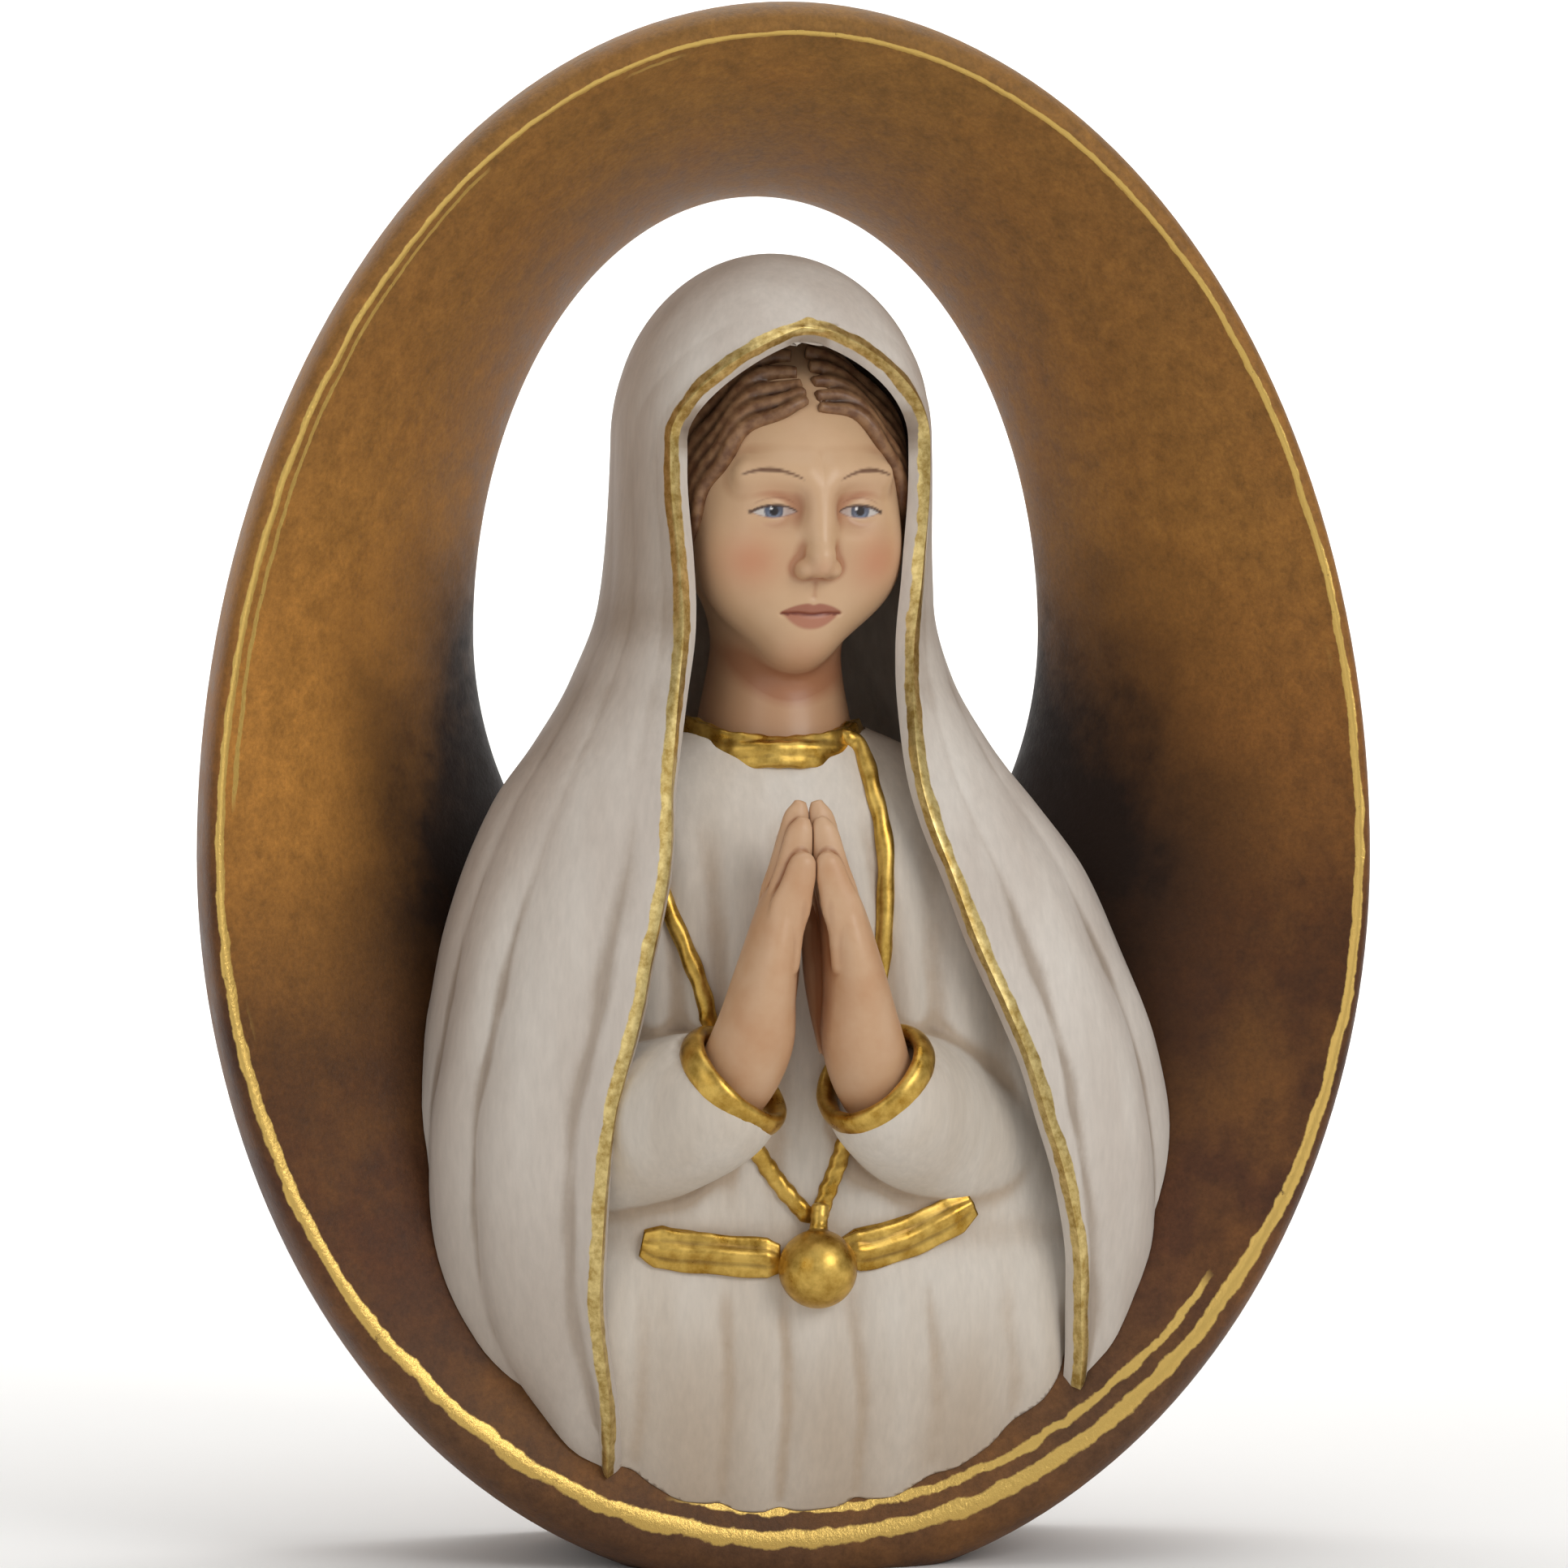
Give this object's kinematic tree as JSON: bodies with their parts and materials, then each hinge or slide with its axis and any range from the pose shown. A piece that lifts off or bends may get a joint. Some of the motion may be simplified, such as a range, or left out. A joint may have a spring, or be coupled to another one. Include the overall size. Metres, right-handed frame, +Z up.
{
  "type": "madonna statue",
  "caption": "Veiled praying Madonna bust of carved, painted wood standing in a flat-footed open oval niche with a flared inner wall and gilded edges.",
  "frame": {"origin": "centre of the niche's flat foot, half way between the niche's front and back faces", "axes": "+Z up along the niche's long axis, the figure looks towards -Y, +X to the viewer's right"},
  "size_m": [0.113, 0.0511, 0.15],
  "materials": {
    "niche_wood": "satin gold-brown wax over brushed bronze paint, darker towards the throat",
    "mantle_paint": "matte off-white paint over wood",
    "robe_paint": "matte off-white paint over wood",
    "skin_paint": "satin flesh paint over wood",
    "hair_paint": "matte brown glaze over wood",
    "gilding": "burnished gold leaf over carved wood",
    "beech": "bare beech"
  },
  "bodies": {
    "root": {"belt_left": "gilding", "belt_right": "gilding", "collar": "gilding", "cord_lower_left": "gilding", "cord_lower_right": "gilding", "cord_upper_left": "gilding", "cord_upper_right": "gilding", "cuff_left": "gilding", "cuff_right": "gilding", "hair_left": "hair_paint", "hair_right": "hair_paint", "hand_left": "skin_paint", "hand_right": "skin_paint", "head": "skin_paint", "mantle": "mantle_paint", "neck_peg": "beech", "niche_dowel_left": "beech", "niche_dowel_right": "beech", "oval_niche": "niche_wood", "pendant_ball": "gilding", "robe": "robe_paint"}
  },
  "joints": []
}
